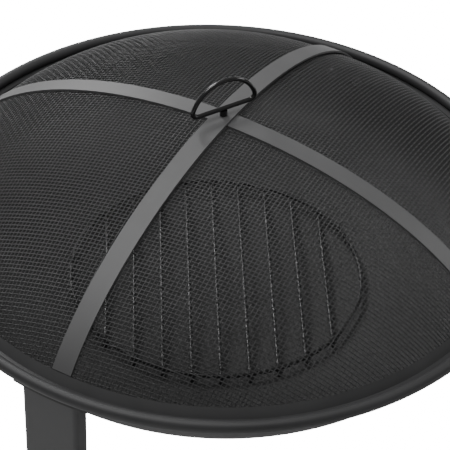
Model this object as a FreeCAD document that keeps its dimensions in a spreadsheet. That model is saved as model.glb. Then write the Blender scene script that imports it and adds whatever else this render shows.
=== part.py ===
# Round steel fire pit: a rolled-rim bowl on four flat-tube legs, a rod grate lying in the bowl,
# and a domed mesh spark screen that lies on the ledge inside the rim.
#
# Frame: +Z up, the ground at z = 0, the origin on the bowl's axis. The legs and the screen's two
# straps lie on the X and Y axes. All lengths are millimetres.
import FreeCAD, Part

import math
import os

import Sketcher
from FreeCAD import Placement, Rotation, Vector

# Driving dimensions: alias, value, meaning.
SIZES = [
    ("rim_height", 340.0, "ground to the axis of the rolled rim"),
    ("rim_radius", 280.0, "outside of the rolled rim"),
    ("bead_diameter", 10.6, "thickness of the rolled rim"),
    ("curl_angle", 300.0, "how far round the rim is rolled, in degrees"),
    ("sheet_steel", 1.2, "sheet of the bowl"),
    ("ledge_width", 14.0, "flat ledge between the wall and the rolled rim"),
    ("ledge_bend", 2.5, "bend from the wall to the ledge"),
    ("wall_drop", 5.0, "upright wall below the ledge, its bend included"),
    ("shoulder_radius", 62.0, "bend from the wall to the dish"),
    ("bowl_depth", 103.0, "underside of the ledge to the lowest point"),
    ("leg_width", 52.4, "leg tube across its broad face"),
    ("leg_depth", 17.6, "leg tube, front to back"),
    ("leg_wall", 1.5, "wall of the leg tube"),
    ("leg_corner", 4.0, "outside corner radius of the leg tube"),
    ("leg_gap", 3.0, "bowl wall to the back of the leg"),
    ("plate_thickness", 3.0, "plate welded on top of the leg"),
    ("plate_setback", 3.2, "outer edge of the plate inside the rim"),
    ("plate_gap", 0.5, "plate clear of the bend under the ledge"),
    ("plate_angle", 15.3, "length of the plate round the bowl, in degrees"),
    ("plate_corner", 3.0, "corner radius of the plate"),
    ("foot_flange", 3.0, "foot cap under the leg tube"),
    ("foot_plug", 14.0, "foot cap inside the leg tube"),
    ("foot_gap", 0.2, "foot plug to the inside of the tube"),
    ("bolt_diameter", 6.0, "leg bolts"),
    ("bolt_length", 15.0, "leg bolts under the head"),
    ("bolt_head", 11.0, "diameter of the button head"),
    ("head_height", 3.3, "height of the button head"),
    ("socket_width", 4.0, "hexagon socket across its flats"),
    ("socket_depth", 2.0, "depth of the hexagon socket"),
    ("bolt_clearance", 0.3, "bolt to the edge of its hole"),
    ("bolt_spacing", 28.0, "between the two bolts of a leg"),
    ("bolt_drop", 9.2, "underside of the ledge to the bolts"),
    ("nut_width", 10.0, "leg nuts across their flats"),
    ("nut_height", 5.0, "leg nuts"),
    ("lid_gap", 7.0, "rolled rim to the edge of the screen"),
    ("dome_rise", 101.5, "top of the ledge to the crown of the lower strap"),
    ("dome_flare", 17.6, "half width of the dome's ellipse beyond the screen's edge"),
    ("strap_width", 17.8, "flat straps of the screen"),
    ("strap_thickness", 2.0, "straps and edge band of the screen"),
    ("strap_clearance", 0.1, "between the straps where they cross"),
    ("mesh_thickness", 0.8, "mesh of the screen"),
    ("mesh_lift", 0.8, "lower edge of the mesh above the ledge"),
    ("band_inset", 5.6, "edge band, measured inwards on plan"),
    ("wire_diameter", 4.1, "wire of the lifting loop"),
    ("loop_height", 29.1, "lifting loop, centre line"),
    ("loop_corner", 5.0, "corner radius of the lifting loop, centre line"),
    ("loop_arch", 32.5, "arch radius of the lifting loop, centre line"),
    ("loop_turn", 61.2, "direction of the loop's bar from +X, in degrees"),
    ("collar_diameter", 6.8, "collar under the lifting loop"),
    ("collar_height", 5.0, "collar under the lifting loop"),
    ("stud_diameter", 5.0, "stud through the crown of the screen"),
    ("stud_clearance", 0.05, "stud to the holes in the straps"),
    ("crown_clearance", 1.5, "stud to the hole in the mesh"),
    ("stud_play", 0.3, "up and down play of the stud"),
    ("stud_tail", 1.5, "stud below its nut"),
    ("washer_diameter", 14.0, "washer under the crown"),
    ("washer_height", 1.0, "washer under the crown"),
    ("stud_nut_width", 8.0, "stud nut across its flats"),
    ("stud_nut_height", 4.0, "stud nut"),
    ("grate_radius", 135.0, "centre line of the grate's ring"),
    ("rod_diameter", 4.0, "ring and rods of the grate"),
    ("rod_count", 9, "rods across the ring"),
    ("rod_spacing", 25.5, "between the rods"),
    ("rod_overhang", 5.0, "rod ends beyond the ring's centre line"),
    ("grate_turn", 31.7, "direction of the rods from +Y, in degrees"),
    ("seat_gap", 0.2, "ends of the longest rod to the dish"),
    ("weld_depth", 0.3, "how far welded round rods sink into each other"),
]

# Places that follow from the sizes: alias, formula.
PLACES = [
    ("bead_radius", "sizes.bead_diameter / 2"),
    ("bead_axis", "sizes.rim_radius - bead_radius"),
    ("ledge_under", "sizes.rim_height - bead_radius"),
    ("ledge_top", "ledge_under + sizes.sheet_steel"),
    ("wall_outer", "sizes.rim_radius - sizes.bead_diameter - sizes.ledge_width"),
    ("wall_inner", "wall_outer - sizes.sheet_steel"),
    ("shoulder_top", "ledge_under - sizes.wall_drop"),
    ("shoulder_axis", "wall_outer - sizes.shoulder_radius"),
    ("bowl_bottom", "ledge_under - sizes.bowl_depth"),
    # The dish is the sphere that passes through the lowest point and is tangent to the shoulder.
    ("dish_rise", "sizes.bowl_depth - sizes.wall_drop"),
    ("dish_radius", "(shoulder_axis ^ 2 + dish_rise ^ 2 - sizes.shoulder_radius ^ 2)"
                    " / (2 * (dish_rise - sizes.shoulder_radius))"),
    ("dish_centre", "bowl_bottom + dish_radius"),
    ("blend_across", "shoulder_axis / (dish_radius - sizes.shoulder_radius)"),
    ("blend_down", "(dish_centre - shoulder_top) / (dish_radius - sizes.shoulder_radius)"),
    ("dish_inside", "dish_radius - sizes.sheet_steel"),
    ("leg_back", "wall_outer + sizes.leg_gap"),
    ("leg_front", "leg_back + sizes.leg_depth"),
    ("leg_top", "ledge_under - sizes.plate_thickness"),
    ("bolt_height", "ledge_under - sizes.bolt_drop"),
    # The bolt heads bear on the shoulder, so their seat follows from its radius at their lower edge.
    ("bolt_dip", "sizes.bolt_drop + sizes.bolt_head / 2 - sizes.wall_drop"),
    ("bolt_wall", "shoulder_axis + sqrt((sizes.shoulder_radius - sizes.sheet_steel) ^ 2 - bolt_dip ^ 2)"),
    ("bolt_seat", "sqrt(bolt_wall ^ 2 - (sizes.bolt_spacing / 2 + sizes.bolt_head / 4) ^ 2)"),
    ("nut_seat", "leg_back + sizes.leg_wall"),
    ("plate_inner", "wall_outer + sizes.ledge_bend + sizes.plate_gap"),
    ("plate_outer", "sizes.rim_radius - sizes.plate_setback"),
    # The dome's layers are ellipses about one centre, each a layer's thickness inside the next.
    ("lid_radius", "sizes.rim_radius - sizes.bead_diameter - sizes.lid_gap"),
    ("dome_wide", "lid_radius + sizes.dome_flare"),
    ("dome_tall", "sizes.dome_rise / (1 - sqrt(1 - (lid_radius / dome_wide) ^ 2))"),
    ("dome_centre", "ledge_top + sizes.dome_rise - dome_tall"),
    ("mesh_wide", "dome_wide - sizes.strap_thickness"),
    ("mesh_tall", "dome_tall - sizes.strap_thickness"),
    ("inside_wide", "mesh_wide - sizes.mesh_thickness"),
    ("inside_tall", "mesh_tall - sizes.mesh_thickness"),
    ("mesh_edge", "inside_wide * sqrt(1 - ((ledge_top + sizes.mesh_lift - dome_centre) / inside_tall) ^ 2)"),
    ("band_inner", "lid_radius - sizes.band_inset"),
    ("band_foot", "mesh_wide * sqrt(1 - ((ledge_top - dome_centre) / mesh_tall) ^ 2)"),
    ("strap_end", "sqrt(band_inner ^ 2 - (sizes.strap_width / 2) ^ 2)"),
    ("over_inside", "dome_tall + sizes.strap_clearance"),
    ("over_outside", "over_inside + sizes.strap_thickness"),
    ("crown_top", "dome_centre + over_outside"),
    ("crown_under", "dome_centre + inside_tall"),
    ("collar_seat", "crown_top + sizes.stud_play / 2"),
    ("loop_bar", "collar_seat + sizes.collar_height + sizes.wire_diameter / 2"),
    ("washer_top", "crown_under - sizes.stud_play"),
    ("stud_nut_top", "washer_top - sizes.washer_height"),
    ("stud_end", "stud_nut_top - sizes.stud_nut_height - sizes.stud_tail"),
    ("arch_axis", "sizes.loop_height - sizes.loop_arch"),
    ("corner_across", "sqrt((sizes.loop_arch - sizes.loop_corner) ^ 2 - (sizes.loop_corner - arch_axis) ^ 2)"),
    ("arch_share", "sizes.loop_arch / (sizes.loop_arch - sizes.loop_corner)"),
    # The grate rests on the dish by the ends of its longest rod.
    ("rod_reach", "sizes.grate_radius + sizes.rod_overhang"),
    ("rod_height", "dish_centre - sqrt((dish_inside - sizes.seat_gap) ^ 2 - rod_reach ^ 2)"
                   " + sizes.rod_diameter / 2"),
    ("ring_height", "rod_height + sizes.rod_diameter - sizes.weld_depth"),
]

# The legs, anticlockwise from +X, each with its turn about Z in degrees.
SIDES = [("right", 0), ("back", 90), ("left", 180), ("front", 270)]

doc = FreeCAD.newDocument("fire_pit")
nodes = []


# ---- the two sheets ----

def fill_sheet(name, rows):
    sheet = doc.addObject("Spreadsheet::Sheet", name)
    for number, (alias, content, note) in enumerate(rows, start=1):
        sheet.set(f"A{number}", note)
        sheet.set(f"B{number}", content)
        sheet.setAlias(f"B{number}", alias)
    doc.recompute()
    return sheet


sizes = fill_sheet("sizes", [(alias, str(number), note) for alias, number, note in SIZES])
places = fill_sheet("places", [(alias, "=" + formula, alias) for alias, formula in PLACES])


def value(expression):
    return float(places.evalExpression(expression))


# ---- sketches and features ----

def new_body(name):
    body = doc.addObject("PartDesign::Body", name)
    body.Label = name
    nodes.append(body)
    return body


def origin_feature(body, role):
    return next(feature for feature in body.Origin.OriginFeatures if feature.Role == role)


def new_sketch(body, name, plane):
    sketch = body.newObject("Sketcher::SketchObject", name)
    sketch.AttachmentSupport = [(origin_feature(body, plane + "_Plane"), "")]
    sketch.MapMode = "FlatFace"
    return sketch


def bind(sketch, kind, *references, to):
    index = sketch.addConstraint(Sketcher.Constraint(kind, *references, value(to)))
    if to != "0":
        sketch.setExpression(f"Constraints[{index}]", to)


def pin(sketch, edge, end, across, up):
    bind(sketch, "DistanceX", -1, 1, edge, end, to=across)
    bind(sketch, "DistanceY", -1, 1, edge, end, to=up)


def add_arc(sketch, start, finish, radius, turn):
    # The shorter arc from start to finish; turn is 1 anticlockwise and -1 clockwise.
    chord = finish - start
    reach = math.sqrt(max(radius ** 2 - (chord.Length / 2) ** 2, 0))
    centre = (start + finish) / 2 + Vector(-chord.y, chord.x, 0).normalize() * reach * turn
    first, last = (start, finish) if turn > 0 else (finish, start)
    angles = [math.atan2(point.y - centre.y, point.x - centre.x) for point in (first, last)]
    circle = Part.Circle(centre, Vector(0, 0, 1), radius)
    return sketch.addGeometry(Part.ArcOfCircle(circle, angles[0], angles[1]))


def outline(sketch, stops):
    # A closed outline. Each stop is a corner: (across, up) is reached by a straight run and
    # (across, up, radius, turn) by an arc. Every number is an expression of the sheets.
    corners = [Vector(value(stop[0]), value(stop[1]), 0) for stop in stops]
    runs = []
    for number, stop in enumerate(stops):
        start, finish = corners[number - 1], corners[number]
        if len(stop) == 2:
            edge = sketch.addGeometry(Part.LineSegment(start, finish))
            runs.append((edge, 1, 2))
        else:
            radius, turn = stop[2:]
            edge = add_arc(sketch, start, finish, value(radius), turn)
            bind(sketch, "Radius", edge, to=radius)
            runs.append((edge, 1, 2) if turn > 0 else (edge, 2, 1))
    for (edge, _, end), (following, start, _), stop in zip(runs, runs[1:] + runs[:1], stops):
        sketch.addConstraint(Sketcher.Constraint("Coincident", edge, end, following, start))
        pin(sketch, edge, end, stop[0], stop[1])


def circle(sketch, across, up, radius):
    edge = sketch.addGeometry(
        Part.Circle(Vector(value(across), value(up), 0), Vector(0, 0, 1), value(radius)))
    pin(sketch, edge, 3, across, up)
    bind(sketch, "Radius", edge, to=radius)


def hexagon(sketch, across_flats):
    # Two flats are square to the sketch's first axis.
    corner = f"({across_flats}) / sqrt(3)"
    outline(sketch, [(f"{corner} * cos({angle})", f"{corner} * sin({angle})")
                     for angle in range(30, 390, 60)])


def rounded_rectangle(sketch, near, far, half, radius):
    left, right = f"{near} + ({radius})", f"{far} - ({radius})"
    inset = f"{half} - ({radius})"
    outline(sketch, [
        (left, f"-({half})"), (right, f"-({half})"),
        (far, f"-({inset})", radius, 1), (far, inset),
        (right, half, radius, 1), (left, half),
        (near, inset, radius, 1), (near, f"-({inset})"),
        (left, f"-({half})", radius, 1),
    ][1:])


def ellipse_arc(sketch, wide, tall, centre, first, last):
    # The upper half of an ellipse about the sketch's second axis, from first to last across it.
    ellipse = Part.Ellipse(Vector(0, value(centre), 0), value(wide), value(tall))
    angles = [math.acos(value(across) / value(wide)) for across in (first, last)]
    edge = sketch.addGeometry(Part.ArcOfEllipse(ellipse, angles[0], angles[1]))
    major = len(sketch.Geometry)
    sketch.exposeInternalGeometry(edge)
    sketch.addConstraint(Sketcher.Constraint("Horizontal", major))
    bind(sketch, "Distance", major, to=f"2 * {wide}")
    bind(sketch, "Distance", major + 1, to=f"2 * {tall}")
    pin(sketch, edge, 3, "0", centre)
    for end, across in ((1, first), (2, last)):
        bind(sketch, "DistanceX", -1, 1, edge, end, to=across)
    return edge


def dome_layer(sketch, outer, inner, first, last):
    # The section between two ellipses. first and last are pairs: how far out the outer and the
    # inner ellipse begin and end.
    centre = "places.dome_centre"
    outside = ellipse_arc(sketch, *outer, centre, first[0], last[0])
    inside = ellipse_arc(sketch, *inner, centre, first[1], last[1])
    for end in (1, 2):
        line = sketch.addGeometry(
            Part.LineSegment(sketch.getPoint(outside, end), sketch.getPoint(inside, end)))
        sketch.addConstraint(Sketcher.Constraint("Coincident", line, 1, outside, end))
        sketch.addConstraint(Sketcher.Constraint("Coincident", line, 2, inside, end))


def revolve(body, name, sketch):
    feature = body.newObject("PartDesign::Revolution", name)
    feature.Profile = sketch
    feature.ReferenceAxis = (sketch, ["V_Axis"])
    feature.Angle = 360
    return feature


def pad(body, name, sketch, length, midplane=False):
    feature = body.newObject("PartDesign::Pad", name)
    feature.Profile = sketch
    feature.setExpression("Length", length)
    feature.Midplane = midplane
    return feature


def pocket(body, name, sketch, length):
    # Cuts from the sketch's plane along its normal.
    feature = body.newObject("PartDesign::Pocket", name)
    feature.Profile = sketch
    feature.setExpression("Length", length)
    feature.Reversed = True
    return feature


def place(piece, rotation=None, turn=None, across="0", along="0", up="0"):
    # turn is an expression for a turn about Z; rotation is a fixed one.
    piece.Placement = Placement(Vector(0, 0, 0), rotation or Rotation(Vector(0, 0, 1), 1))
    if rotation is None:
        piece.setExpression("Placement.Rotation.Angle", turn or "0")
    for axis, expression in (("x", across), ("y", along), ("z", up)):
        piece.setExpression(f"Placement.Base.{axis}", expression)


def turned(degrees, across, along):
    # The expressions of a point turned by whole quarter turns about Z.
    cosine, sine = [(1, 0), (0, 1), (-1, 0), (0, -1)][degrees // 90]
    return f"{cosine} * {across} - {sine} * ({along})", f"{sine} * {across} + {cosine} * ({along})"


# ---- the bowl ----

def make_bowl():
    body = new_body("bowl")

    dish = new_sketch(body, "dish_section", "XZ")
    shoulder, inner_shoulder = "sizes.shoulder_radius", "sizes.shoulder_radius - sizes.sheet_steel"
    bend, outer_bend = "sizes.ledge_bend", "sizes.ledge_bend + sizes.sheet_steel"
    bend_axis = "places.wall_outer + sizes.ledge_bend"
    bend_low = "places.ledge_under - sizes.ledge_bend"

    def blend(radius):
        return (f"places.blend_across * {radius}",
                f"places.dish_centre - places.blend_down * {radius}")

    outline(dish, [
        ("0", "places.bowl_bottom"),
        (*blend("places.dish_radius"), "places.dish_radius", 1),
        ("places.wall_outer", "places.shoulder_top", shoulder, 1),
        ("places.wall_outer", bend_low),
        (bend_axis, "places.ledge_under", bend, -1),
        ("places.bead_axis", "places.ledge_under"),
        ("places.bead_axis", "places.ledge_top"),
        (bend_axis, "places.ledge_top"),
        ("places.wall_inner", bend_low, outer_bend, 1),
        ("places.wall_inner", "places.shoulder_top"),
        (*blend("places.dish_inside"), inner_shoulder, -1),
        ("0", "places.bowl_bottom + sizes.sheet_steel", "places.dish_inside", -1),
    ])
    revolve(body, "dish", dish)

    # The rolled rim: the ledge's sheet goes on round, to a small slit above the ledge.
    curl = new_sketch(body, "curl_section", "XZ")
    outside, inside = "places.bead_radius", "(places.bead_radius - sizes.sheet_steel)"
    last = "(sizes.curl_angle - 90)"

    def on_curl(radius, angle):
        return (f"places.bead_axis + {radius} * cos({angle})",
                f"sizes.rim_height + {radius} * sin({angle})")

    outline(curl, [
        on_curl(outside, "-90"),
        (*on_curl(outside, "0"), outside, 1),
        (*on_curl(outside, "90"), outside, 1),
        (*on_curl(outside, "180"), outside, 1),
        (*on_curl(outside, last), outside, 1),
        on_curl(inside, last),
        (*on_curl(inside, "180"), inside, -1),
        (*on_curl(inside, "90"), inside, -1),
        (*on_curl(inside, "0"), inside, -1),
        (*on_curl(inside, "-90"), inside, -1),
    ])
    revolve(body, "rolled_rim", curl)

    # Two bolt holes for each leg.
    holes = new_sketch(body, "bolt_hole_section", "YZ")
    for side in ("", "-"):
        circle(holes, f"{side}sizes.bolt_spacing / 2", "places.bolt_height",
               "sizes.bolt_diameter / 2 + sizes.bolt_clearance")
    cut = pocket(body, "bolt_holes", holes, "sizes.rim_radius")
    pattern = body.newObject("PartDesign::PolarPattern", "bolt_hole_pattern")
    pattern.Originals = [cut]
    pattern.Axis = (origin_feature(body, "Z_Axis"), [""])
    pattern.Angle = 360
    pattern.Occurrences = len(SIDES)
    body.Tip = pattern


# ---- the legs ----

def make_leg(side, turn):
    # A flat tube standing against the bowl's wall, open at both ends.
    body = new_body(f"leg_{side}")
    section = new_sketch(body, f"leg_{side}_section", "XY")
    wall = "sizes.leg_wall"
    rounded_rectangle(section, "places.leg_back", "places.leg_front", "sizes.leg_width / 2",
                      "sizes.leg_corner")
    rounded_rectangle(section, f"places.leg_back + {wall}", f"places.leg_front - {wall}",
                      f"sizes.leg_width / 2 - {wall}", f"sizes.leg_corner - {wall}")
    pad(body, f"leg_{side}_tube", section, "places.leg_top - sizes.foot_flange")
    holes = new_sketch(body, f"leg_{side}_hole_section", "YZ")
    for sign in ("", "-"):
        circle(holes, f"{sign}sizes.bolt_spacing / 2", "places.bolt_height - sizes.foot_flange",
               "sizes.bolt_diameter / 2 + sizes.bolt_clearance")
    pocket(body, f"leg_{side}_holes", holes, "places.leg_back + sizes.leg_depth / 2")
    place(body, turn=str(turn), up="sizes.foot_flange")


def make_plate(side, turn):
    # A flat plate on top of the leg, bent to the bowl on plan, lying under the ledge.
    body = new_body(f"leg_plate_{side}")
    section = new_sketch(body, f"leg_plate_{side}_section", "XY")
    half = "sizes.plate_angle / 2"
    inner, outer = "places.plate_inner", "places.plate_outer"
    outline(section, [
        (f"{inner} * cos({half})", f"-{inner} * sin({half})", inner, -1),
        (f"{outer} * cos({half})", f"-{outer} * sin({half})"),
        (f"{outer} * cos({half})", f"{outer} * sin({half})", outer, 1),
        (f"{inner} * cos({half})", f"{inner} * sin({half})"),
    ])
    blank = pad(body, f"leg_plate_{side}_blank", section, "sizes.plate_thickness")
    doc.recompute()
    upright = [f"Edge{number}" for number, edge in enumerate(blank.Shape.Edges, start=1)
               if abs(edge.tangentAt(edge.FirstParameter).z) > 0.9]
    corners = body.newObject("PartDesign::Fillet", f"leg_plate_{side}_corners")
    corners.Base = (blank, upright)
    corners.setExpression("Radius", "sizes.plate_corner")
    place(body, turn=str(turn), up="places.leg_top")


def make_foot(side, turn):
    # A cap with the tube's outline, and a plug that fills the tube's lower end.
    body = new_body(f"foot_{side}")
    flange = new_sketch(body, f"foot_{side}_flange_section", "XY")
    rounded_rectangle(flange, "places.leg_back", "places.leg_front", "sizes.leg_width / 2",
                      "sizes.leg_corner")
    pad(body, f"foot_{side}_flange", flange, "sizes.foot_flange")
    plug = new_sketch(body, f"foot_{side}_plug_section", "XY")
    inset = "sizes.leg_wall + sizes.foot_gap"
    rounded_rectangle(plug, f"places.leg_back + {inset}", f"places.leg_front - ({inset})",
                      f"sizes.leg_width / 2 - ({inset})", f"sizes.leg_corner - ({inset})")
    pad(body, f"foot_{side}_plug", plug, "sizes.foot_flange + sizes.foot_plug")
    place(body, turn=str(turn))


def make_leg_bolt(side, turn, hand, sign):
    # A button-head bolt from inside the bowl. Its own Z axis points out of the bowl.
    body = new_body(f"leg_bolt_{side}_{hand}")
    section = new_sketch(body, f"{body.Name}_section", "XZ")
    shank = "sizes.bolt_diameter / 2"
    outline(section, [
        ("0", "-sizes.head_height"),
        ("sizes.bolt_head / 4", "-sizes.head_height"),
        ("sizes.bolt_head / 2", "0", "sizes.bolt_head / 2", 1),
        (shank, "0"),
        (shank, "sizes.bolt_length"),
        ("0", "sizes.bolt_length"),
    ])
    revolve(body, f"{body.Name}_turning", section)
    socket = new_sketch(body, f"{body.Name}_socket_section", "XY")
    socket.AttachmentOffset = Placement(Vector(0, 0, 0), Rotation())
    socket.setExpression("AttachmentOffset.Base.z", "-sizes.head_height")
    hexagon(socket, "sizes.socket_width")
    pocket(body, f"{body.Name}_socket", socket, "sizes.socket_depth")
    across, along = turned(turn, "places.bolt_seat", f"{sign}sizes.bolt_spacing / 2")
    place(body, rotation=outward(turn), across=across, along=along, up="places.bolt_height")


def make_leg_nut(side, turn, hand, sign):
    # A nut welded inside the leg tube, behind the hole.
    body = new_body(f"leg_nut_{side}_{hand}")
    section = new_sketch(body, f"{body.Name}_section", "XY")
    hexagon(section, "sizes.nut_width")
    circle(section, "0", "0", "sizes.bolt_diameter / 2")
    pad(body, f"{body.Name}_blank", section, "sizes.nut_height")
    across, along = turned(turn, "places.nut_seat", f"{sign}sizes.bolt_spacing / 2")
    place(body, rotation=outward(turn), across=across, along=along, up="places.bolt_height")


def outward(turn):
    # Turns a piece's own Z axis to point out of the bowl.
    return Rotation(Vector(0, 0, 1), turn) * Rotation(Vector(0, 1, 0), 90)


# ---- the spark screen ----

OVER = ("places.dome_wide", "places.over_outside"), ("places.mesh_wide", "places.over_inside")
UNDER = ("places.dome_wide", "places.dome_tall"), ("places.mesh_wide", "places.mesh_tall")
MESH = ("places.mesh_wide", "places.mesh_tall"), ("places.inside_wide", "places.inside_tall")


def crown_hole(body, clearance):
    hole = new_sketch(body, f"{body.Name}_hole_section", "XY")
    circle(hole, "0", "0", f"sizes.stud_diameter / 2 + {clearance}")
    pocket(body, f"{body.Name}_hole", hole, "places.crown_top + sizes.dome_rise")


def make_mesh():
    body = new_body("screen_mesh")
    section = new_sketch(body, "screen_mesh_section", "XZ")
    dome_layer(section, *MESH, ("places.mesh_edge", "places.mesh_edge"), ("0", "0"))
    revolve(body, "screen_mesh_dome", section)
    crown_hole(body, "sizes.crown_clearance")


def make_band():
    # The edge band carries the screen: its lower edge lies on the ledge.
    body = new_body("screen_band")
    section = new_sketch(body, "screen_band_section", "XZ")
    dome_layer(section, *UNDER, ("places.lid_radius", "places.band_foot"),
               ("places.band_inner", "places.band_inner"))
    revolve(body, "screen_band_ring", section)


def make_strap(name, layer, turn):
    body = new_body(name)
    section = new_sketch(body, f"{name}_section", "XZ")
    end = "places.strap_end"
    dome_layer(section, *layer, (end, end), (f"-{end}", f"-{end}"))
    pad(body, f"{name}_bar", section, "sizes.strap_width", midplane=True)
    crown_hole(body, "sizes.stud_clearance")
    place(body, turn=str(turn))


def make_loop():
    # A D of round wire standing on its straight bar.
    body = new_body("lifting_loop")
    path = new_sketch(body, "lifting_loop_path", "XZ")
    bar_end = "places.corner_across"
    arch_side = "places.corner_across * places.arch_share"
    arch_foot = "places.arch_axis + (sizes.loop_corner - places.arch_axis) * places.arch_share"
    outline(path, [
        ("0", "0"),
        (bar_end, "0"),
        (arch_side, arch_foot, "sizes.loop_corner", 1),
        (f"-{arch_side}", arch_foot, "sizes.loop_arch", 1),
        (f"-{bar_end}", "0", "sizes.loop_corner", 1),
    ])
    section = new_sketch(body, "lifting_loop_section", "YZ")
    circle(section, "0", "0", "sizes.wire_diameter / 2")
    wire = body.newObject("PartDesign::AdditivePipe", "lifting_loop_wire")
    wire.Profile = section
    wire.Spine = path
    place(body, turn="sizes.loop_turn", up="places.loop_bar")


def make_stud():
    # A collar on the straps, under the loop's bar, and a threaded shank through the crown.
    body = new_body("loop_stud")
    section = new_sketch(body, "loop_stud_section", "XZ")
    collar, shank = "sizes.collar_diameter / 2", "sizes.stud_diameter / 2"
    collar_top = "places.collar_seat + sizes.collar_height"
    outline(section, [
        ("0", "places.stud_end"), (shank, "places.stud_end"),
        (shank, "places.collar_seat"), (collar, "places.collar_seat"),
        (collar, collar_top), ("0", collar_top),
    ])
    revolve(body, "loop_stud_turning", section)


def make_stud_washer():
    body = new_body("loop_washer")
    section = new_sketch(body, "loop_washer_section", "XY")
    circle(section, "0", "0", "sizes.washer_diameter / 2")
    circle(section, "0", "0", "sizes.stud_diameter / 2 + sizes.stud_clearance")
    pad(body, "loop_washer_blank", section, "sizes.washer_height")
    place(body, up="places.stud_nut_top")


def make_stud_nut():
    body = new_body("loop_nut")
    section = new_sketch(body, "loop_nut_section", "XY")
    hexagon(section, "sizes.stud_nut_width")
    circle(section, "0", "0", "sizes.stud_diameter / 2")
    pad(body, "loop_nut_blank", section, "sizes.stud_nut_height")
    place(body, turn="sizes.loop_turn", up="places.stud_nut_top - sizes.stud_nut_height")


# ---- the grate ----

def make_ring():
    ring = doc.addObject("Part::Torus", "grate_ring")
    ring.Label = ring.Name
    ring.setExpression("Radius1", "sizes.grate_radius")
    ring.setExpression("Radius2", "sizes.rod_diameter / 2")
    place(ring, up="places.ring_height")
    nodes.append(ring)


def make_rod(number, count):
    # Rods lie side by side under the ring; their ends stand out a little beyond it.
    body = new_body(f"grate_rod_{number}")
    section = new_sketch(body, f"{body.Name}_section", "XZ")
    offset = f"{number - (count + 1) / 2} * sizes.rod_spacing"
    circle(section, offset, "0", "sizes.rod_diameter / 2")
    half = f"sqrt(sizes.grate_radius ^ 2 - ({offset}) ^ 2) + sizes.rod_overhang"
    pad(body, f"{body.Name}_bar", section, f"2 * ({half})", midplane=True)
    place(body, turn="sizes.grate_turn", up="places.rod_height")


# ---- build, check and write ----

make_bowl()
for side, turn in SIDES:
    make_leg(side, turn)
    make_plate(side, turn)
    make_foot(side, turn)
    for hand, sign in (("a", "-"), ("b", "")):
        make_leg_bolt(side, turn, hand, sign)
        make_leg_nut(side, turn, hand, sign)

make_mesh()
make_band()
make_strap("strap_under", UNDER, 0)
make_strap("strap_over", OVER, 90)
make_loop()
make_stud()
make_stud_washer()
make_stud_nut()

make_ring()
rod_count = int(value("sizes.rod_count"))
for number in range(1, rod_count + 1):
    make_rod(number, rod_count)

doc.recompute()

for piece in doc.Objects:
    if "Invalid" in piece.State or "Error" in piece.State:
        raise RuntimeError(f"{piece.Name} could not be computed: {piece.State}")
for node in nodes:
    shape = node.Shape
    if shape.isNull() or not shape.isValid() or len(shape.Solids) != 1:
        raise RuntimeError(f"{node.Label} is not one valid solid")

os.makedirs("parts", exist_ok=True)
for node in nodes:
    node.Shape.exportStep(f"parts/{node.Label}.step")
    box = node.Shape.BoundBox
    print(f"{node.Label}: {node.Shape.Volume / 1000:.2f} cm3, z {box.ZMin:.1f} to {box.ZMax:.1f}")
print(len(nodes), "pieces")
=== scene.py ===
import bpy, math
from mathutils import Matrix, Vector


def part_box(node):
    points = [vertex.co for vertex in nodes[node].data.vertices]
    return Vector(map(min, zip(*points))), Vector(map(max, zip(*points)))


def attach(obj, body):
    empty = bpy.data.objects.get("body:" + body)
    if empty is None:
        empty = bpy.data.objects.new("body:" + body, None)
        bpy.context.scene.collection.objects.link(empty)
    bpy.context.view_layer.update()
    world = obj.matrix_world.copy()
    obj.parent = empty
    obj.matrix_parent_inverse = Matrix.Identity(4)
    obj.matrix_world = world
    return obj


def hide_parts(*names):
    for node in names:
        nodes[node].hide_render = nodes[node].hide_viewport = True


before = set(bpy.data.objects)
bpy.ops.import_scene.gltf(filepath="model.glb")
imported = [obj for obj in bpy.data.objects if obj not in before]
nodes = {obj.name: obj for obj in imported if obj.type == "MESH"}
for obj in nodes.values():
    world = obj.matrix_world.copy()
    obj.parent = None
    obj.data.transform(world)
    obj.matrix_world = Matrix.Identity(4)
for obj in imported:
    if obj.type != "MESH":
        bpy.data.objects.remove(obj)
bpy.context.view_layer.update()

print("frame loaded:", len(nodes), "nodes")


def newMaterial(name):
    material = bpy.data.materials.new(name)
    material.use_nodes = True
    tree = material.node_tree
    return material, tree, tree.nodes["Principled BSDF"]


def addNode(tree, kind, at=(0, 0), **values):
    # each value sets the node's property of that name, or else its input
    node = tree.nodes.new(kind)
    node.location = at
    for name, value in values.items():
        if hasattr(node, name):
            setattr(node, name, value)
        else:
            node.inputs[name.title()].default_value = value
    return node


def addSocket(tree, name, side, kind, default=None, low=None, high=None):
    socket = tree.interface.new_socket(name=name, in_out=side, socket_type=kind)
    if default is not None:
        socket.default_value = default
    if low is not None:
        socket.min_value, socket.max_value = low, high
    return socket


def ramp(tree, low, high, at):
    # from 0 at the low value to 1 at the high one
    node = addNode(tree, "ShaderNodeMapRange", at)
    node.inputs["From Min"].default_value = low
    node.inputs["From Max"].default_value = high
    return node


def maths(tree, operation, at, first=None, second=None):
    node = addNode(tree, "ShaderNodeMath", at, operation=operation)
    if first is not None:
        node.inputs[0].default_value = first
    if second is not None:
        node.inputs[1].default_value = second
    return node


def paint(material, *names):
    for name in names:
        slots = nodes[name].data.materials
        slots.clear()
        slots.append(material)


coatNoise = {
    "patchDetail": 4.0, "grainDetail": 2.0,
    "roughSwing": 0.35,      # how far the roughness follows the patches
}


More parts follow.
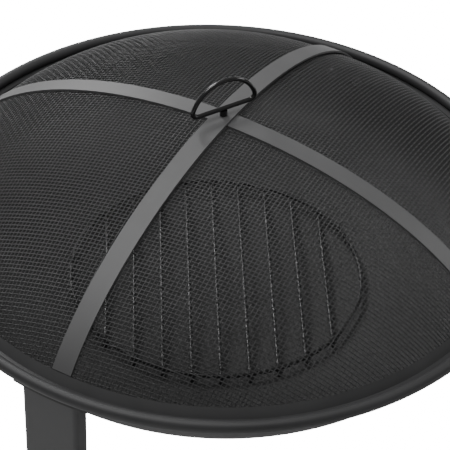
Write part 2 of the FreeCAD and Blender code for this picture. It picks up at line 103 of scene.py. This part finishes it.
def makeCoatGroup():
    # powder coat: a fine grain, and slow patches of shade and roughness
    tree = bpy.data.node_groups.new("powderCoat", "ShaderNodeTree")
    addSocket(tree, "Coordinates", "INPUT", "NodeSocketVector")
    addSocket(tree, "Color", "INPUT", "NodeSocketColor", (0.03, 0.03, 0.03, 1))
    addSocket(tree, "Roughness", "INPUT", "NodeSocketFloat", 0.45, 0, 1)
    addSocket(tree, "Patch Size", "INPUT", "NodeSocketFloat", 0.05, 0.001, 1)
    addSocket(tree, "Grain Size", "INPUT", "NodeSocketFloat", 0.0008, 0.0001, 0.1)
    addSocket(tree, "Patchiness", "INPUT", "NodeSocketFloat", 0.2, 0, 1)
    addSocket(tree, "Color", "OUTPUT", "NodeSocketColor")
    addSocket(tree, "Roughness", "OUTPUT", "NodeSocketFloat")
    addSocket(tree, "Height", "OUTPUT", "NodeSocketFloat")
    start = addNode(tree, "NodeGroupInput", (-900, 0))
    end = addNode(tree, "NodeGroupOutput", (700, 0))
    patchScale = maths(tree, "DIVIDE", (-700, 200), 1.0)
    grainScale = maths(tree, "DIVIDE", (-700, -200), 1.0)
    patch = addNode(tree, "ShaderNodeTexNoise", (-500, 200), detail=coatNoise["patchDetail"])
    grain = addNode(tree, "ShaderNodeTexNoise", (-500, -200), detail=coatNoise["grainDetail"])
    shade = maths(tree, "SUBTRACT", (-300, 200), second=0.5)
    amount = maths(tree, "MULTIPLY", (-120, 200))
    gain = maths(tree, "MULTIPLY_ADD", (60, 200), second=2.0)
    gain.inputs[2].default_value = 1.0
    tint = addNode(tree, "ShaderNodeVectorMath", (250, 200), operation="SCALE")
    rough = maths(tree, "MULTIPLY_ADD", (250, 0), second=coatNoise["roughSwing"])
    clampRough = maths(tree, "MINIMUM", (450, 0), second=1.0)
    link = tree.links.new
    link(start.outputs["Patch Size"], patchScale.inputs[1])
    link(start.outputs["Grain Size"], grainScale.inputs[1])
    link(start.outputs["Coordinates"], patch.inputs["Vector"])
    link(start.outputs["Coordinates"], grain.inputs["Vector"])
    link(patchScale.outputs[0], patch.inputs["Scale"])
    link(grainScale.outputs[0], grain.inputs["Scale"])
    link(patch.outputs[0], shade.inputs[0])
    link(shade.outputs[0], amount.inputs[0])
    link(start.outputs["Patchiness"], amount.inputs[1])
    link(amount.outputs[0], gain.inputs[0])
    link(start.outputs["Color"], tint.inputs[0])
    link(gain.outputs[0], tint.inputs["Scale"])
    link(tint.outputs[0], end.inputs["Color"])
    link(amount.outputs[0], rough.inputs[0])
    link(start.outputs["Roughness"], rough.inputs[2])
    link(rough.outputs[0], clampRough.inputs[0])
    link(clampRough.outputs[0], end.inputs["Roughness"])
    link(grain.outputs[0], end.inputs["Height"])
    return tree


scuffNoise = {
    "detail": 8.0, "roughness": 0.7,
    "start": 0.58, "full": 0.72,     # noise levels where a rub begins and where it is complete
}


def makeScuffGroup():
    # thin rubs and dull dust, as a mask from 0 to 1
    tree = bpy.data.node_groups.new("scuffs", "ShaderNodeTree")
    addSocket(tree, "Coordinates", "INPUT", "NodeSocketVector")
    addSocket(tree, "Size", "INPUT", "NodeSocketFloat", 0.02, 0.001, 1)
    addSocket(tree, "Amount", "INPUT", "NodeSocketFloat", 0.3, 0, 1)
    addSocket(tree, "Mask", "OUTPUT", "NodeSocketFloat")
    start = addNode(tree, "NodeGroupInput", (-700, 0))
    end = addNode(tree, "NodeGroupOutput", (500, 0))
    scale = maths(tree, "DIVIDE", (-520, 0), 1.0)
    streak = addNode(tree, "ShaderNodeTexNoise", (-340, 0),
                     detail=scuffNoise["detail"], roughness=scuffNoise["roughness"])
    edge = ramp(tree, scuffNoise["start"], scuffNoise["full"], (-140, 0))
    amount = maths(tree, "MULTIPLY", (60, 0))
    link = tree.links.new
    link(start.outputs["Size"], scale.inputs[1])
    link(start.outputs["Coordinates"], streak.inputs["Vector"])
    link(scale.outputs[0], streak.inputs["Scale"])
    link(streak.outputs[0], edge.inputs["Value"])
    link(edge.outputs[0], amount.inputs[0])
    link(start.outputs["Amount"], amount.inputs[1])
    link(amount.outputs[0], end.inputs["Mask"])
    return tree


coatGroup = makeCoatGroup()
scuffGroup = makeScuffGroup()


def makeCoat(name, look):
    material, tree, shader = newMaterial(name)
    place = addNode(tree, "ShaderNodeTexCoord", (-900, 0))
    coat = addNode(tree, "ShaderNodeGroup", (-600, 100), node_tree=coatGroup)
    scuff = addNode(tree, "ShaderNodeGroup", (-600, -250), node_tree=scuffGroup)
    coat.inputs["Color"].default_value = (*look["color"], 1)
    coat.inputs["Roughness"].default_value = look["roughness"]
    coat.inputs["Patch Size"].default_value = look["patchSize"]
    coat.inputs["Grain Size"].default_value = look["grainSize"]
    coat.inputs["Patchiness"].default_value = look["patchiness"]
    scuff.inputs["Size"].default_value = look["scuffSize"]
    scuff.inputs["Amount"].default_value = look["scuffs"]
    rubbed = addNode(tree, "ShaderNodeMix", (-300, 150), data_type="RGBA")
    rubbed.inputs["B"].default_value = (*look["scuffColor"], 1)
    bump = addNode(tree, "ShaderNodeBump", (-300, -200))
    bump.inputs["Strength"].default_value = look["grain"]
    bump.inputs["Distance"].default_value = look["grainDepth"]
    link = tree.links.new
    for group in (coat, scuff):
        link(place.outputs["Object"], group.inputs["Coordinates"])
    link(coat.outputs["Color"], rubbed.inputs["A"])
    link(scuff.outputs["Mask"], rubbed.inputs["Factor"])
    link(rubbed.outputs["Result"], shader.inputs["Base Color"])
    link(coat.outputs["Roughness"], shader.inputs["Roughness"])
    link(coat.outputs["Height"], bump.inputs["Height"])
    link(bump.outputs["Normal"], shader.inputs["Normal"])
    shader.inputs["Metallic"].default_value = look.get("metallic", 0.0)
    return material


# one coat for each finish, sizes in metres
coats = {
    "bowlPaint": dict(color=(0.028, 0.028, 0.029), roughness=0.56, patchSize=0.06, grainSize=0.0012,
                      patchiness=0.35, scuffSize=0.012, scuffs=0.15, scuffColor=(0.05, 0.05, 0.05),
                      grain=0.25, grainDepth=0.0002),
    # lighter than the rim and the legs in the same black coat: painted light, the bounce from the
    # floor onto the underside
    "bowlOutsideBounceLit": dict(color=(0.050, 0.050, 0.051), roughness=0.56, patchSize=0.06, grainSize=0.0012,
                        patchiness=0.35, scuffSize=0.012, scuffs=0.15, scuffColor=(0.08, 0.08, 0.08),
                        grain=0.25, grainDepth=0.0002),
    # near black: painted shadow, the shade the rolled rim casts on the leg plates, not a darker paint
    "plateShadowPaint": dict(color=(0.004, 0.004, 0.004), roughness=0.6, patchSize=0.02, grainSize=0.0010,
                       patchiness=0.2, scuffSize=0.010, scuffs=0.05, scuffColor=(0.02, 0.02, 0.02),
                       grain=0.20, grainDepth=0.0001),
    "bowlInside": dict(color=(0.028, 0.028, 0.028), roughness=0.55, patchSize=0.05, grainSize=0.0012,
                       patchiness=0.5, scuffSize=0.012, scuffs=0.10, scuffColor=(0.03, 0.03, 0.03),
                       grain=0.25, grainDepth=0.0002),
    "legPaint": dict(color=(0.030, 0.030, 0.031), roughness=0.5, patchSize=0.05, grainSize=0.0010,
                     patchiness=0.2, scuffSize=0.010, scuffs=0.10, scuffColor=(0.07, 0.07, 0.07),
                     grain=0.30, grainDepth=0.0002),
    # lighter grey than the other black parts: painted sheen, the glossy reflection of the bright
    # surroundings on the straps, not a lighter paint
    "strapSheenPaint": dict(color=(0.090, 0.090, 0.091), roughness=0.52, patchSize=0.04, grainSize=0.0010,
                       patchiness=0.15, scuffSize=0.010, scuffs=0.08, scuffColor=(0.14, 0.14, 0.14),
                       grain=0.20, grainDepth=0.0002),
    "bandPaint": dict(color=(0.055, 0.055, 0.056), roughness=0.5, patchSize=0.04, grainSize=0.0010,
                      patchiness=0.2, scuffSize=0.010, scuffs=0.1, scuffColor=(0.05, 0.05, 0.05),
                      grain=0.20, grainDepth=0.0002),
    "meshPaint": dict(color=(0.052, 0.052, 0.053), roughness=0.40, patchSize=0.08, grainSize=0.0006,
                      patchiness=0.2, scuffSize=0.015, scuffs=0.1, scuffColor=(0.09, 0.09, 0.09),
                      grain=0.10, grainDepth=0.00005),
    "loopPaint": dict(color=(0.012, 0.012, 0.012), roughness=0.16, patchSize=0.02, grainSize=0.0012,
                      patchiness=0.1, scuffSize=0.006, scuffs=0.05, scuffColor=(0.05, 0.05, 0.05),
                      grain=0.08, grainDepth=0.0001),
    "gratePaint": dict(color=(0.014, 0.014, 0.014), roughness=0.29, patchSize=0.02, grainSize=0.0010,
                       patchiness=0.3, scuffSize=0.008, scuffs=0.25, scuffColor=(0.07, 0.065, 0.06),
                       grain=0.25, grainDepth=0.0001),
    "boltZinc": dict(color=(0.10, 0.10, 0.105), roughness=0.35, patchSize=0.01, grainSize=0.0005,
                     patchiness=0.2, scuffSize=0.004, scuffs=0.2, scuffColor=(0.3, 0.3, 0.3),
                     grain=0.15, grainDepth=0.00005, metallic=0.9),
    "footPlastic": dict(color=(0.015, 0.015, 0.015), roughness=0.62, patchSize=0.03, grainSize=0.0006,
                        patchiness=0.15, scuffSize=0.006, scuffs=0.3, scuffColor=(0.06, 0.06, 0.058),
                        grain=0.40, grainDepth=0.0001),
}
finish = {name: makeCoat(name, look) for name, look in coats.items()}

paint(finish["bowlPaint"], "bowl")
for side in ("right", "back", "left", "front"):
    paint(finish["legPaint"], f"leg_{side}")
    paint(finish["plateShadowPaint"], f"leg_plate_{side}")
    paint(finish["footPlastic"], f"foot_{side}")
    for hand in "ab":
        paint(finish["boltZinc"], f"leg_bolt_{side}_{hand}", f"leg_nut_{side}_{hand}")
paint(finish["strapSheenPaint"], "strap_over", "strap_under")
paint(finish["bandPaint"], "screen_band")
paint(finish["loopPaint"], "lifting_loop", "loop_stud")
paint(finish["boltZinc"], "loop_washer", "loop_nut")
paint(finish["gratePaint"], "grate_ring", *(f"grate_rod_{n}" for n in range(1, 10)))
paint(finish["meshPaint"], "screen_mesh")
print("finishes made:", len(finish))


# bowl, turned from its section so the rolled rim shades cleanly
bowlShape = {
    "rimHeight": 0.340, "rimRadius": 0.280,
    "bead": 0.0053,          # radius of the rolled rim
    "curl": 300,             # how far round the rim is rolled, in degrees
    "sheet": 0.0012, "ledge": 0.014, "bend": 0.0025, "wallDrop": 0.005,
    "shoulder": 0.062, "depth": 0.103,
    "turns": 240,            # faces round the bowl
    # faces along each arc of the section
    "dishSteps": 24, "shoulderSteps": 20, "bendSteps": 6, "rimSteps": 40, "rimInsideSteps": 24,
    "crease": 40,            # edges sharper than this many degrees stay sharp
    # the underside coat is a lighter copy of the same paint, as painted bounce light
    "coats": ("bowlOutsideBounceLit", "bowlPaint", "bowlInside"),     # underside, rim and ledge, inside
}


def arcPoints(centre, radius, start, stop, steps):
    # points on an arc in the section plane, angles in degrees
    points = []
    for step in range(steps + 1):
        angle = math.radians(start + (stop - start) * step / steps)
        points.append((centre[0] + radius * math.cos(angle), centre[1] + radius * math.sin(angle)))
    return points


def bowlSection(shape):
    # the sheet's outline from the lowest point out, round the rim, and back to the axis
    sheet, bead = shape["sheet"], shape["bead"]
    under = shape["rimHeight"] - bead
    wall = shape["rimRadius"] - 2 * bead - shape["ledge"]
    axis = (wall - shape["shoulder"], under - shape["wallDrop"])
    rise = shape["depth"] - shape["wallDrop"]
    dish = (axis[0] ** 2 + rise ** 2 - shape["shoulder"] ** 2) / (2 * (rise - shape["shoulder"]))
    middle = (0.0, under - shape["depth"] + dish)
    meet = -90 + math.degrees(math.asin(axis[0] / (dish - shape["shoulder"])))
    corner = (wall + shape["bend"], under - shape["bend"])
    rim = (shape["rimRadius"] - bead, shape["rimHeight"])
    last = shape["curl"] - 90
    points = arcPoints(middle, dish, -90, meet, shape["dishSteps"])[1:-1]
    points += arcPoints(axis, shape["shoulder"], meet, 0, shape["shoulderSteps"])
    outside = len(points)
    points += arcPoints(corner, shape["bend"], 180, 90, shape["bendSteps"])
    points += arcPoints(rim, bead, -90, last, shape["rimSteps"])
    points += arcPoints(rim, bead - sheet, last, -90, shape["rimInsideSteps"])
    points += arcPoints(corner, shape["bend"] + sheet, 90, 180, shape["bendSteps"])
    inside = len(points)
    points += arcPoints(axis, shape["shoulder"] - sheet, 0, meet, shape["shoulderSteps"])
    points += arcPoints(middle, dish - sheet, meet, -90, shape["dishSteps"])[1:-1]
    lowest = middle[1] - dish
    return points, outside, inside, lowest, lowest + sheet


def turnBowl(name, shape):
    # outside and inside are the places in the section where its coat changes
    section, outside, inside, low, high = bowlSection(shape)
    count, turns = len(section), shape["turns"]
    points, faces = [], []
    for turn in range(turns):
        angle = 2 * math.pi * turn / turns
        points += [(r * math.cos(angle), r * math.sin(angle), z) for r, z in section]
    lowest, highest = len(points), len(points) + 1
    points += [(0, 0, low), (0, 0, high)]
    for turn in range(turns):
        here, there = turn * count, (turn + 1) % turns * count
        faces += [(here + k, there + k, there + k + 1, here + k + 1) for k in range(count - 1)]
        faces.append((lowest, there, here))
        faces.append((highest, here + count - 1, there + count - 1))
    mesh = bpy.data.meshes.new(name)
    mesh.from_pydata(points, [], faces)
    mesh.polygons.foreach_set("use_smooth", [True] * len(faces))
    mesh.set_sharp_from_angle(angle=math.radians(shape["crease"]))
    mesh.update()
    for coat in shape["coats"]:
        mesh.materials.append(finish[coat])
    under, rim, over = range(len(shape["coats"]))
    strip = [under] * outside + [rim] * (inside - outside) + [over] * (count - 1 - inside)
    strip += [under, over]   # the two faces that reach the axis
    mesh.polygons.foreach_set("material_index", strip * turns)
    piece = bpy.data.objects.new(name, mesh)
    bpy.context.scene.collection.objects.link(piece)
    return piece


bowlShell = turnBowl("bowlShell", bowlShape)
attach(bowlShell, "base")
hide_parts("bowl")
print("bowl turned:", len(bowlShell.data.polygons), "faces")


# woven screen, laid flat as crossings of wire and then pressed over the dome
weave = {
    "pitch": 0.00363,        # between neighbouring wires
    "firstTurn": 8.5,        # direction of the first wires from +X, in degrees
    "secondTurn": 91.5,      # direction of the second wires
    "wireWidth": 0.00105,
    "wireDepth": 0.00062,
    "wave": 0.00020,         # how far a wire rises and falls
    "weld": 0.00022,         # points nearer than this are joined
    "puff": 0.0025,          # how far the cloth stands out midway between the straps
    "edge": 0.2600,          # radius on plan where the wires end, under the band
    "hole": 0.0040,          # radius round the crown without wires
    "wide": 0.2780,          # half width and height of the dome's ellipse
    "tall": 0.1539,
    "count": 170,            # crossings along each side of the flat cloth
    "outlineSteps": 400,     # points on the dome's outline
}


def makeCrossing(name, look):
    # one wire over another, each four-sided and in two steps of half a pitch
    half, wave = look["pitch"] / 2, look["wave"]
    wide, deep = look["wireWidth"] / 2, look["wireDepth"] / 2
    points, faces = [], []
    for turned in (False, True):
        first = len(points)
        for step, lift in ((-1, 0), (0, 1), (1, 0)):
            along, up = step * half, lift * wave * (-1 if turned else 1)
            for across, rise in ((wide, 0), (0, deep), (-wide, 0), (0, -deep)):
                spot = (along, across, up + rise)
                points.append((-spot[1], spot[0], spot[2]) if turned else spot)
        for step in (0, 1):
            for side in range(4):
                a = first + 4 * step + side
                b = first + 4 * step + (side + 1) % 4
                faces.append((a, b, b + 4, a + 4))
    mesh = bpy.data.meshes.new(name)
    mesh.from_pydata(points, [], faces)
    mesh.update()
    mesh.polygons.foreach_set("use_smooth", [True] * len(faces))
    piece = bpy.data.objects.new(name, mesh)
    bpy.context.scene.collection.objects.link(piece)
    return piece


def makeWeaveTree():
    tree = bpy.data.node_groups.new("wovenScreen", "GeometryNodeTree")
    addSocket(tree, "Geometry", "INPUT", "NodeSocketGeometry")
    addSocket(tree, "Crossing", "INPUT", "NodeSocketObject")
    addSocket(tree, "Material", "INPUT", "NodeSocketMaterial")
    for name in ("Count", "Outline Steps"):
        addSocket(tree, name, "INPUT", "NodeSocketInt", 1)
    for name in ("Pitch", "First Turn", "Second Turn", "Half Width", "Height", "Centre",
                 "Edge", "Hole", "Puff", "Weld", "Quarter"):
        addSocket(tree, name, "INPUT", "NodeSocketFloat", 0.0)
    addSocket(tree, "Geometry", "OUTPUT", "NodeSocketGeometry")
    start = addNode(tree, "NodeGroupInput", (-2200, 0))
    end = addNode(tree, "NodeGroupOutput", (2200, 0))
    link = tree.links.new
    given = start.outputs

    def fill(node, values):
        # each input takes a plain number or the output of another node
        for socket, value in zip(node.inputs, values):
            if isinstance(value, (int, float)):
                socket.default_value = value
            else:
                link(value, socket)

    def calc(operation, *values):
        node = addNode(tree, "ShaderNodeMath", operation=operation)
        fill(node, values)
        return node.outputs[0]

    def turned(first, second, operation):
        # one flat direction of the two leaning rows of wires
        alongFirst = calc("MULTIPLY", first, calc(operation, firstTurn))
        alongSecond = calc("MULTIPLY", second, calc(operation, secondTurn))
        return calc("MULTIPLY", stretch, calc("ADD", alongFirst, alongSecond))

    def fromCrown(x, y):
        return calc("SQRT", calc("ADD", calc("MULTIPLY", x, x), calc("MULTIPLY", y, y)))

    def alongOutline(length):
        # the point of the dome's outline at a distance from the crown
        sample = addNode(tree, "GeometryNodeSampleCurve", mode="LENGTH")
        link(outline, sample.inputs[0])
        link(length, sample.inputs["Length"])
        return sample.outputs

    def join(x, y, z):
        node = addNode(tree, "ShaderNodeCombineXYZ")
        fill(node, (x, y, z))
        return node.outputs[0]

    def split(vector):
        node = addNode(tree, "ShaderNodeSeparateXYZ")
        link(vector, node.inputs[0])
        return node.outputs

    # the dome's outline, from the crown down
    arc = addNode(tree, "GeometryNodeCurveArc", (-1900, 500))
    link(given["Outline Steps"], arc.inputs["Resolution"])
    arc.inputs["Radius"].default_value = 1.0
    arc.inputs["Start Angle"].default_value = math.pi / 2
    arc.inputs["Sweep Angle"].default_value = -math.pi / 2
    shape = addNode(tree, "GeometryNodeTransform", (-1700, 500))
    link(arc.outputs[0], shape.inputs["Geometry"])
    link(join(given["Half Width"], given["Height"], 1.0), shape.inputs["Scale"])
    outline = shape.outputs[0]

    # a grid of crossings, each marked as odd or even, leaning as the two wires do
    grid = addNode(tree, "GeometryNodeMeshGrid", (-1900, 0))
    steps = calc("SUBTRACT", given["Count"], 1.0)
    for direction in "XY":
        link(given["Count"], grid.inputs["Vertices " + direction])
        link(steps, grid.inputs["Size " + direction])
    crossing = addNode(tree, "GeometryNodeMeshToPoints", (-1700, 0))
    link(grid.outputs[0], crossing.inputs["Mesh"])
    first, second, _ = split(addNode(tree, "GeometryNodeInputPosition").outputs[0])
    mark = addNode(tree, "GeometryNodeStoreNamedAttribute", (-1600, -200),
                   data_type="FLOAT", domain="POINT")
    mark.inputs["Name"].default_value = "parity"
    link(crossing.outputs[0], mark.inputs["Geometry"])
    link(calc("FLOORED_MODULO", calc("ROUND", calc("ADD", first, second)), 2.0), mark.inputs["Value"])
    firstTurn = calc("RADIANS", given["First Turn"])
    secondTurn = calc("RADIANS", given["Second Turn"])
    stretch = calc("DIVIDE", given["Pitch"], calc("SINE", calc("SUBTRACT", secondTurn, firstTurn)))
    lay = addNode(tree, "GeometryNodeSetPosition", (-1500, 0))
    link(mark.outputs[0], lay.inputs["Geometry"])
    flatSpot = join(turned(first, second, "COSINE"), turned(first, second, "SINE"), 0.0)
    link(flatSpot, lay.inputs["Position"])

    # keep one quarter, from the centre hole to the edge
    x, y, _ = split(addNode(tree, "GeometryNodeInputPosition").outputs[0])
    reach = fromCrown(x, y)
    angle = calc("FLOORED_MODULO", calc("ARCTAN2", y, x), 2 * math.pi)
    quarter = calc("FLOOR", calc("DIVIDE", angle, math.pi / 2))
    same = calc("COMPARE", quarter, given["Quarter"], 0.25)
    plan = split(alongOutline(reach)["Position"])[0]
    outside = calc("GREATER_THAN", plan, given["Edge"])
    inside = calc("LESS_THAN", reach, given["Hole"])
    unwanted = calc("ADD", calc("ADD", calc("SUBTRACT", 1.0, same), outside), inside)
    trim = addNode(tree, "GeometryNodeDeleteGeometry", (-1300, 0), domain="POINT")
    link(lay.outputs[0], trim.inputs[0])
    link(calc("GREATER_THAN", unwanted, 0.5), trim.inputs["Selection"])

    # each crossing is turned a quarter more than its neighbours, so over and under alternate
    shapeInfo = addNode(tree, "GeometryNodeObjectInfo", (-1300, -300))
    link(given["Crossing"], shapeInfo.inputs["Object"])
    parityRead = addNode(tree, "GeometryNodeInputNamedAttribute", data_type="FLOAT")
    parityRead.inputs["Name"].default_value = "parity"
    spin = calc("MULTIPLY", parityRead.outputs["Attribute"], math.pi / 2)
    put = addNode(tree, "GeometryNodeInstanceOnPoints", (-1000, 0))
    link(trim.outputs[0], put.inputs["Points"])
    link(shapeInfo.outputs["Geometry"], put.inputs["Instance"])
    link(join(0.0, 0.0, calc("ADD", spin, firstTurn)), put.inputs["Rotation"])
    real = addNode(tree, "GeometryNodeRealizeInstances", (-800, 0))
    link(put.outputs[0], real.inputs[0])
    weld = addNode(tree, "GeometryNodeMergeByDistance", (-600, 0))
    link(given["Weld"], weld.inputs["Distance"])
    link(real.outputs[0], weld.inputs[0])

    # press the flat cloth over the dome: distances from the crown are kept
    flatX, flatY, flatZ = split(addNode(tree, "GeometryNodeInputPosition").outputs[0])
    length = fromCrown(flatX, flatY)
    onDome = alongOutline(length)
    domeX, domeZ, _ = split(onDome["Position"])
    slopeX, slopeZ, _ = split(onDome["Tangent"])
    divisor = calc("MAXIMUM", length, 0.0001)       # never nought at the crown
    unitX = calc("DIVIDE", flatX, divisor)
    unitY = calc("DIVIDE", flatY, divisor)
    between = calc("ABSOLUTE", calc("MULTIPLY", calc("MULTIPLY", unitX, unitY), 2.0))
    share = calc("DIVIDE", domeX, given["Edge"])
    fade = calc("SUBTRACT", 1.0, calc("POWER", share, 4.0))
    bulge = calc("MULTIPLY", calc("MULTIPLY", share, share), fade)
    level = calc("MULTIPLY", calc("MULTIPLY", bulge, 2.6), between)     # about 1 where it is greatest
    lift = calc("ADD", flatZ, calc("MULTIPLY", level, given["Puff"]))
    outX = calc("SUBTRACT", domeX, calc("MULTIPLY", slopeZ, lift))
    outZ = calc("ADD", domeZ, calc("MULTIPLY", slopeX, lift))
    bent = join(calc("MULTIPLY", unitX, outX), calc("MULTIPLY", unitY, outX),
                calc("ADD", outZ, given["Centre"]))
    press = addNode(tree, "GeometryNodeSetPosition", (1400, 0))
    link(weld.outputs[0], press.inputs["Geometry"])
    link(bent, press.inputs["Position"])
    dress = addNode(tree, "GeometryNodeSetMaterial", (1700, 0))
    link(press.outputs[0], dress.inputs["Geometry"])
    link(given["Material"], dress.inputs["Material"])
    link(dress.outputs[0], end.inputs[0])
    return tree


def grow(tree, name, values):
    # runs a node tree once and keeps its result as a plain mesh
    seed = bpy.data.objects.new(name + "Seed", bpy.data.meshes.new(name + "Seed"))
    bpy.context.scene.collection.objects.link(seed)
    modifier = seed.modifiers.new("grow", "NODES")
    modifier.node_group = tree
    sockets = {item.name: item.identifier for item in tree.interface.items_tree
               if item.in_out == "INPUT"}
    for key, value in values.items():
        modifier[sockets[key]] = value
    ready = seed.evaluated_get(bpy.context.evaluated_depsgraph_get())
    mesh = bpy.data.meshes.new_from_object(ready)
    mesh.name = name
    bpy.data.objects.remove(seed)
    piece = bpy.data.objects.new(name, mesh)
    bpy.context.scene.collection.objects.link(piece)
    return piece


crossing = makeCrossing("wireCrossing", weave)
weaveTree = makeWeaveTree()
clothHalf = weave["wireDepth"] / 2 + weave["wave"]
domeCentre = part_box("screen_mesh")[1].z - weave["tall"]
for quarter in range(4):
    cloth = grow(weaveTree, f"wovenScreen{quarter + 1}", {
        "Crossing": crossing, "Material": finish["meshPaint"],
        "Count": weave["count"], "Outline Steps": weave["outlineSteps"], "Pitch": weave["pitch"],
        "First Turn": weave["firstTurn"], "Second Turn": weave["secondTurn"],
        "Half Width": weave["wide"] - clothHalf, "Height": weave["tall"] - clothHalf,
        "Centre": domeCentre, "Edge": weave["edge"], "Hole": weave["hole"],
        "Puff": weave["puff"], "Weld": weave["weld"], "Quarter": float(quarter),
    })
    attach(cloth, "screen")
    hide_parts("screen_mesh")
    print("woven screen quarter", quarter + 1, len(cloth.data.polygons), "faces")
bpy.data.objects.remove(crossing)


# floor, sky and lights
studio = {
    "floorSize": 14.0,
    "floorColor": (0.93, 0.93, 0.93),
    "floorRoughness": 0.9, "floorSpecular": 0.1,
    "floorGlow": 16.0,       # only the camera sees the glow, so it lights nothing
    "skyLow": 0.10,          # strength of the sky at the horizon and overhead
    "skyHigh": 0.45,
    "skySeen": 16.0,         # its strength where the camera looks at it
    "aim": (0, 0, 0.35),     # where all the lamps point
}
lamps = {
    "key": dict(power=33.0, size=0.7, place=(-1.7, 1.0, 1.6)),
    "top": dict(power=30.0, size=1.2, place=(-0.5, -0.5, 2.5)),
    "back": dict(power=3.0, size=1.0, place=(-1.8, 1.5, 0.9)),
    "side": dict(power=9.0, size=0.7, place=(1.2, 1.6, 1.2)),
}


def makeFloor():
    half = studio["floorSize"] / 2
    mesh = bpy.data.meshes.new("floor")
    corners = [(-half, -half, 0), (half, -half, 0), (half, half, 0), (-half, half, 0)]
    mesh.from_pydata(corners, [], [(0, 1, 2, 3)])
    floor = bpy.data.objects.new("floor", mesh)
    bpy.context.scene.collection.objects.link(floor)
    material, tree, shader = newMaterial("floorPaper")
    shader.inputs["Base Color"].default_value = (*studio["floorColor"], 1)
    shader.inputs["Roughness"].default_value = studio["floorRoughness"]
    shader.inputs["Specular IOR Level"].default_value = studio["floorSpecular"]
    shader.inputs["Emission Color"].default_value = (1, 1, 1, 1)
    ray = addNode(tree, "ShaderNodeLightPath", (-500, 0))
    glow = maths(tree, "MULTIPLY", (-250, 0), second=studio["floorGlow"])
    tree.links.new(ray.outputs["Is Camera Ray"], glow.inputs[0])
    tree.links.new(glow.outputs[0], shader.inputs["Emission Strength"])
    mesh.materials.append(material)


def makeLight(name, power, size, place):
    lamp = bpy.data.lights.new(name, "AREA")
    lamp.energy, lamp.size = power, size
    light = bpy.data.objects.new(name, lamp)
    bpy.context.scene.collection.objects.link(light)
    light.location = place
    toward = Vector(studio["aim"]) - Vector(place)
    light.rotation_euler = toward.to_track_quat("-Z", "Y").to_euler()


def makeSky():
    # dim at the horizon and brighter overhead, and white where the camera looks past the floor
    world = bpy.data.worlds.new("studio")
    bpy.context.scene.world = world
    world.use_nodes = True
    tree = world.node_tree
    back = tree.nodes["Background"]
    back.inputs["Color"].default_value = (1, 1, 1, 1)
    where = addNode(tree, "ShaderNodeTexCoord", (-900, 0))
    parts = addNode(tree, "ShaderNodeSeparateXYZ", (-700, 0))
    level = ramp(tree, 0.0, 1.0, (-500, 0))
    level.inputs["To Min"].default_value = studio["skyLow"]
    level.inputs["To Max"].default_value = studio["skyHigh"]
    ray = addNode(tree, "ShaderNodeLightPath", (-500, 300))
    pick = addNode(tree, "ShaderNodeMix", (-250, 100), data_type="FLOAT")
    pick.inputs["B"].default_value = studio["skySeen"]
    link = tree.links.new
    link(where.outputs["Generated"], parts.inputs[0])
    link(parts.outputs["Z"], level.inputs["Value"])
    link(level.outputs[0], pick.inputs["A"])
    link(ray.outputs["Is Camera Ray"], pick.inputs["Factor"])
    link(pick.outputs[0], back.inputs["Strength"])


camera = {
    "place": (0.5921, -1.1089, 1.3888),
    "heading": 27.83, "pitch": 40.52, "roll": 2.73,     # degrees
    "lens": 145.42, "sensor": 36.0,     # millimetres
    "near": 0.05, "far": 50.0,
}


def makeCamera():
    lens = bpy.data.cameras.new("camera")
    lens.lens, lens.sensor_width = camera["lens"], camera["sensor"]
    lens.clip_start, lens.clip_end = camera["near"], camera["far"]
    eye = bpy.data.objects.new("camera", lens)
    bpy.context.scene.collection.objects.link(eye)
    turn = (Matrix.Rotation(math.radians(camera["heading"]), 4, "Z")
            @ Matrix.Rotation(math.radians(90 - camera["pitch"]), 4, "X")
            @ Matrix.Rotation(math.radians(camera["roll"]), 4, "Z"))
    eye.matrix_world = Matrix.Translation(camera["place"]) @ turn
    bpy.context.scene.camera = eye


makeFloor()
makeSky()
for name, lamp in lamps.items():
    makeLight(name, **lamp)
makeCamera()
print("studio ready")
